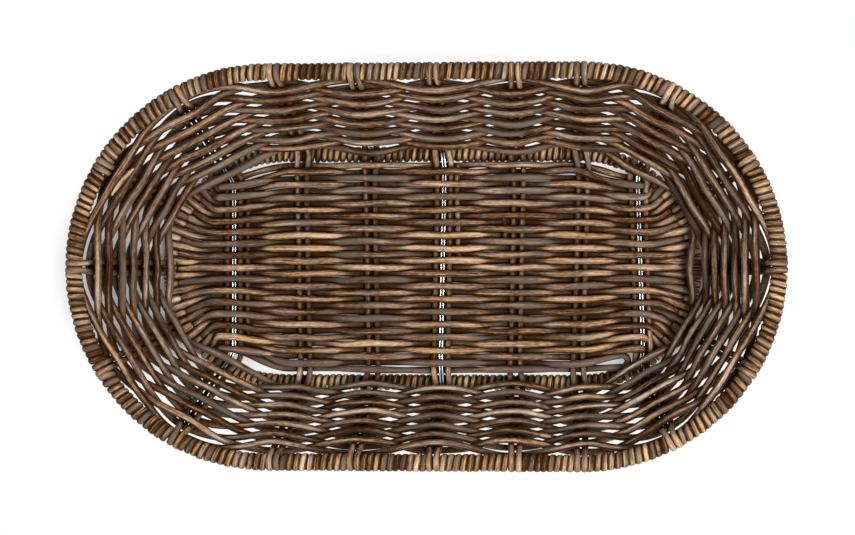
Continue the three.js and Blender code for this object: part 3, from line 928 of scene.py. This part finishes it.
def winding(radius, height, wrap, start, end, pitch, wide, tone, dull, rng):
    """Turns of cane round a hoop between two places of its oval; `dull` scales how greyed they are.

    The strand's place along the hoop grows evenly with its turn, one pitch for 360 degrees; round the
    hoop it keeps the wrap's radius, a little in or out from turn to turn.
    """
    turns = max(1, int(round((end - start) / pitch)))
    tones = cane_tones(rng, turns, tone, 0.06)
    tones[:, 0] += 0.09 * drift(rng, 1, turns, turns / 7)[0]
    tones[:, 1] *= dull
    turn = np.linspace(0, turns, turns * TURN_STEPS + 1)
    angle = -np.pi / 2 + 2 * np.pi * turn
    jitter = np.interp(turn, np.arange(turns + 2), rng.normal(0, 1, turns + 2))
    middle, out = oval(radius, start + (end - start) * (turn / turns) + 0.2 * MM * jitter)
    away = np.cos(angle)[:, None] * out + np.sin(angle)[:, None] * np.array([0, 0, 1])
    swell = np.interp(turn, np.arange(turns + 2), rng.normal(0, 0.12 * MM, turns + 2))
    path = middle + np.array([0, 0, height]) + (wrap + swell)[:, None] * away
    size = 1 + 0.06 * np.interp(turn, np.arange(turns + 2), rng.normal(0, 1, turns + 2))
    tone = tones[np.minimum(turn.astype(int), turns - 1)][None]
    return sweep(path[None], away[None], WRAP_THICK * size, wide * size, 8, tone, rng)


def bind_rim():
    """The rim's winding, in runs between the stakes that pass over it, as a left and a right half."""
    quarter = RIM_RADIUS * np.pi / 2
    places = RIM_RADIUS * STATION_ANGLE + STATION_WALKED + STATION_FAN
    length = 4 * (quarter + HALF_STRAIGHT)
    following = np.append(places[1:], places[0] + length)
    room = RIM_ASIDE + 0.75 * WRAP_WIDE
    halves = {"left": [], "right": []}
    for number, (place, after) in enumerate(zip(places, following)):
        rng = np.random.default_rng(500 + number)
        middle = oval(RIM_RADIUS, np.array([(place + after) / 2]))[0][0]
        start, end = place + room, after - room
        run = winding(
            RIM_RADIUS, RIM_Z, RIM_WRAP, start, end, RIM_PITCH, RIM_WRAP_WIDE, RIM_TONE, 1.0, rng,
        )
        halves["left" if middle[0] < 0 else "right"].append(run)
    for hand, runs in halves.items():
        make_piece(f"rim_winding_{hand}", runs, WRAP_CANE, "binding_cane", f"rim_binding_{hand}")


def bind_ring():
    """The base ring's winding along both sides, and a short loop between each two rows over its ends."""
    quarter = RING_RADIUS * np.pi / 2
    halves = {"left": [], "right": []}
    fan_end = -RING_RADIUS * fan_angle(SHORT_ROWS - 0.5)
    half_side = quarter + HALF_STRAIGHT
    sides = (
        ("right", fan_end, half_side), ("left", half_side, 2 * half_side - fan_end),
        ("left", 2 * half_side + fan_end, 3 * half_side), ("right", 3 * half_side, 4 * half_side - fan_end),
    )
    for number, (hand, start, end) in enumerate(sides):
        rng = np.random.default_rng(600 + number)
        halves[hand].append(winding(
            RING_RADIUS, RING_Z, RING_WRAP, start, end, RING_PITCH, RING_WRAP_WIDE, RING_TONE, 0.0, rng,
        ))
    rng = np.random.default_rng(650)
    turns = fan_angle(np.arange(SHORT_ROWS, BASE_ROWS - SHORT_ROWS, 2))
    angle = np.linspace(-np.pi, np.pi, TURN_STEPS + 1)[None, :, None]
    for hand, middle, sign in (("right", HALF_STRAIGHT, 1), ("left", -HALF_STRAIGHT, -1)):
        out = np.stack([sign * np.cos(turns), np.sin(turns), 0 * turns], axis=-1)[:, None]
        away = np.cos(angle) * out + np.sin(angle) * np.array([0, 0, 1])
        path = np.array([middle, 0, RING_Z]) + RING_RADIUS * out + RING_WRAP * away
        tones = cane_tones(rng, len(turns), LOOP_TONE, LOOP_TONE_SPREAD)
        halves[hand].append(sweep(path, away, WRAP_THICK, WRAP_WIDE * 1.21, 8, tones, rng))
    for hand, runs in halves.items():
        make_piece(f"ring_winding_{hand}", runs, WRAP_CANE, "binding_cane", f"base_binding_{hand}")


def finish_hoops():
    """The two steel hoops inside the windings keep their CAD shape and take a dull steel finish."""
    material, tree = new_material("dull_steel")
    place = add_node(tree, "ShaderNodeTexCoord", {}, {}, "Object")
    cloud = stretched_noise(tree, place, (6 * MM, 6 * MM, 6 * MM), 2.0)
    shader = add_node(tree, "ShaderNodeBsdfPrincipled", {}, {
        "Base Color": (0.12, 0.11, 0.10, 1),
        "Metallic": 1.0,
        "Roughness": 0.4 + cloud * 0.3,
    })
    finish_material(tree, shader)
    for node in ("rim_hoop", "base_hoop"):
        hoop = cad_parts[node]
        hoop.data.materials.clear()
        hoop.data.materials.append(material)


def add_lamp(name, size, energy, place):
    """A rectangular lamp at a place, turned to the basket's middle."""
    lamp = bpy.data.lights.new(name, "AREA")
    lamp.shape = "RECTANGLE"
    lamp.size, lamp.size_y = size
    lamp.energy = energy
    lamp.color = (1.0, 0.985, 0.96)
    stand = bpy.data.objects.new(name, lamp)
    stand.location = place
    stand.rotation_euler = (Vector((0, 0, 0.05)) - stand.location).to_track_quat("-Z", "Y").to_euler()
    bpy.context.scene.collection.objects.link(stand)


def seen_directly(tree):
    """1 where the camera, a reflection or glass looks at the surface, else 0."""
    rays = ("Is Camera Ray", "Is Glossy Ray", "Is Transmission Ray")
    camera, glossy, through = (add_node(tree, "ShaderNodeLightPath", {}, {}, ray) for ray in rays)
    return camera + glossy + through


def lay_floor():
    """A pale floor that glows white outside the rim and along the sides, and keeps its shadow elsewhere.

    The place is measured in shares of the rim's half length and half width. Under the right end, in
    from the rim, a painted shadow darkens the paint.
    """
    material, tree = new_material("pale_floor")
    place = add_node(tree, "ShaderNodeTexCoord", {}, {}, "Object")
    shares = {0: place, 1: (1 / RIM_HIGH.x, 1 / RIM_HIGH.y, 0)}
    place = add_node(tree, "ShaderNodeVectorMath", {"operation": "MULTIPLY"}, shares)
    away = add_node(tree, "ShaderNodeVectorMath", {"operation": "LENGTH"}, {0: place}, "Value")
    sideways = axis_of(tree, place, 1)
    sideways = sideways.math("ABSOLUTE", sideways, 0.0)
    # Painted shadow on the floor under the basket's right end, in from the rim
    right_end_shadow = eased(tree, axis_of(tree, place, 0), 0.6, 0.8) - eased(tree, away, 0.93, 1.0)
    seen = seen_directly(tree)
    pale = mixed(tree, right_end_shadow, (0.97, 0.95, 0.945, 1), (0.60, 0.588, 0.585, 1))
    paint = add_node(tree, "ShaderNodeBsdfDiffuse", {}, {"Color": mixed(tree, seen, UNSEEN_FLOOR, pale)})
    glow = add_node(tree, "ShaderNodeEmission", {}, {"Color": (1, 1, 1, 1), "Strength": 1.0})
    outside = eased(tree, away, 0.99, 1.15)
    # Painted light: the floor glows along the long sides, under the walls too, and barely in the middle
    share = outside.math("MAXIMUM", outside, eased(tree, sideways, 0.35, 0.62, 0.02, 0.92))
    finish_material(tree, add_node(tree, "ShaderNodeMixShader", {}, {0: seen * share, 1: paint, 2: glow}))
    mesh = bpy.data.meshes.new("floor")
    half = FLOOR_HALF
    corners = [(-half, -half, 0), (half, -half, 0), (half, half, 0), (-half, half, 0)]
    mesh.from_pydata(corners, [], [(0, 1, 2, 3)])
    mesh.materials.append(material)
    floor = bpy.data.objects.new("floor", mesh)
    bpy.context.scene.collection.objects.link(floor)


def light_sky():
    """An even pale sky that shows white, a soft lamp at the front right and a weak fill at the front."""
    world = bpy.data.worlds.new("pale_sky")
    bpy.context.scene.world = world
    world.use_nodes = True
    sky = world.node_tree
    sky.nodes.clear()
    even = add_node(sky, "ShaderNodeBackground", {}, {"Color": (1.0, 0.97, 0.95, 1), "Strength": 0.27})
    white = add_node(sky, "ShaderNodeBackground", {}, {"Color": (1, 1, 1, 1), "Strength": 1.0})
    shown = add_node(sky, "ShaderNodeMixShader", {}, {0: seen_directly(sky), 1: even, 2: white})
    add_node(sky, "ShaderNodeOutputWorld", {}, {"Surface": shown})
    add_lamp("soft_key", (0.8, 0.7), 33, (0.62, -0.36, 1.56))
    add_lamp("front_fill", (1.2, 0.4), 4, (-0.2, -1.5, 0.45))


def photo_camera():
    """Straight above the basket, a little to the right, with the rim across most of the frame."""
    camera = bpy.data.cameras.new("camera")
    target = Vector((2.85 * MM, -0.6 * MM, RIM_Z))
    place = Vector((82.65 * MM, -16.6 * MM, RIM_Z + 1330 * MM))
    seen_width = 543.4 * MM
    camera.sensor_width = 36
    camera.lens = camera.sensor_width * (place - target).length / seen_width
    stand = bpy.data.objects.new("camera", camera)
    stand.location = place
    back = (place - target).normalized()
    right = Vector((0, 1, 0)).cross(back).normalized()
    stand.rotation_euler = Matrix((right, back.cross(right), back)).transposed().to_euler()
    bpy.context.scene.collection.objects.link(stand)
    bpy.context.scene.camera = stand
    bpy.context.scene.view_settings.view_transform = "Standard"


photo_camera()
lay_floor()
light_sky()
finish_hoops()
weave_wall()
set_cross_stakes()
set_end_stakes()
weave_base()
bind_rim()
bind_ring()
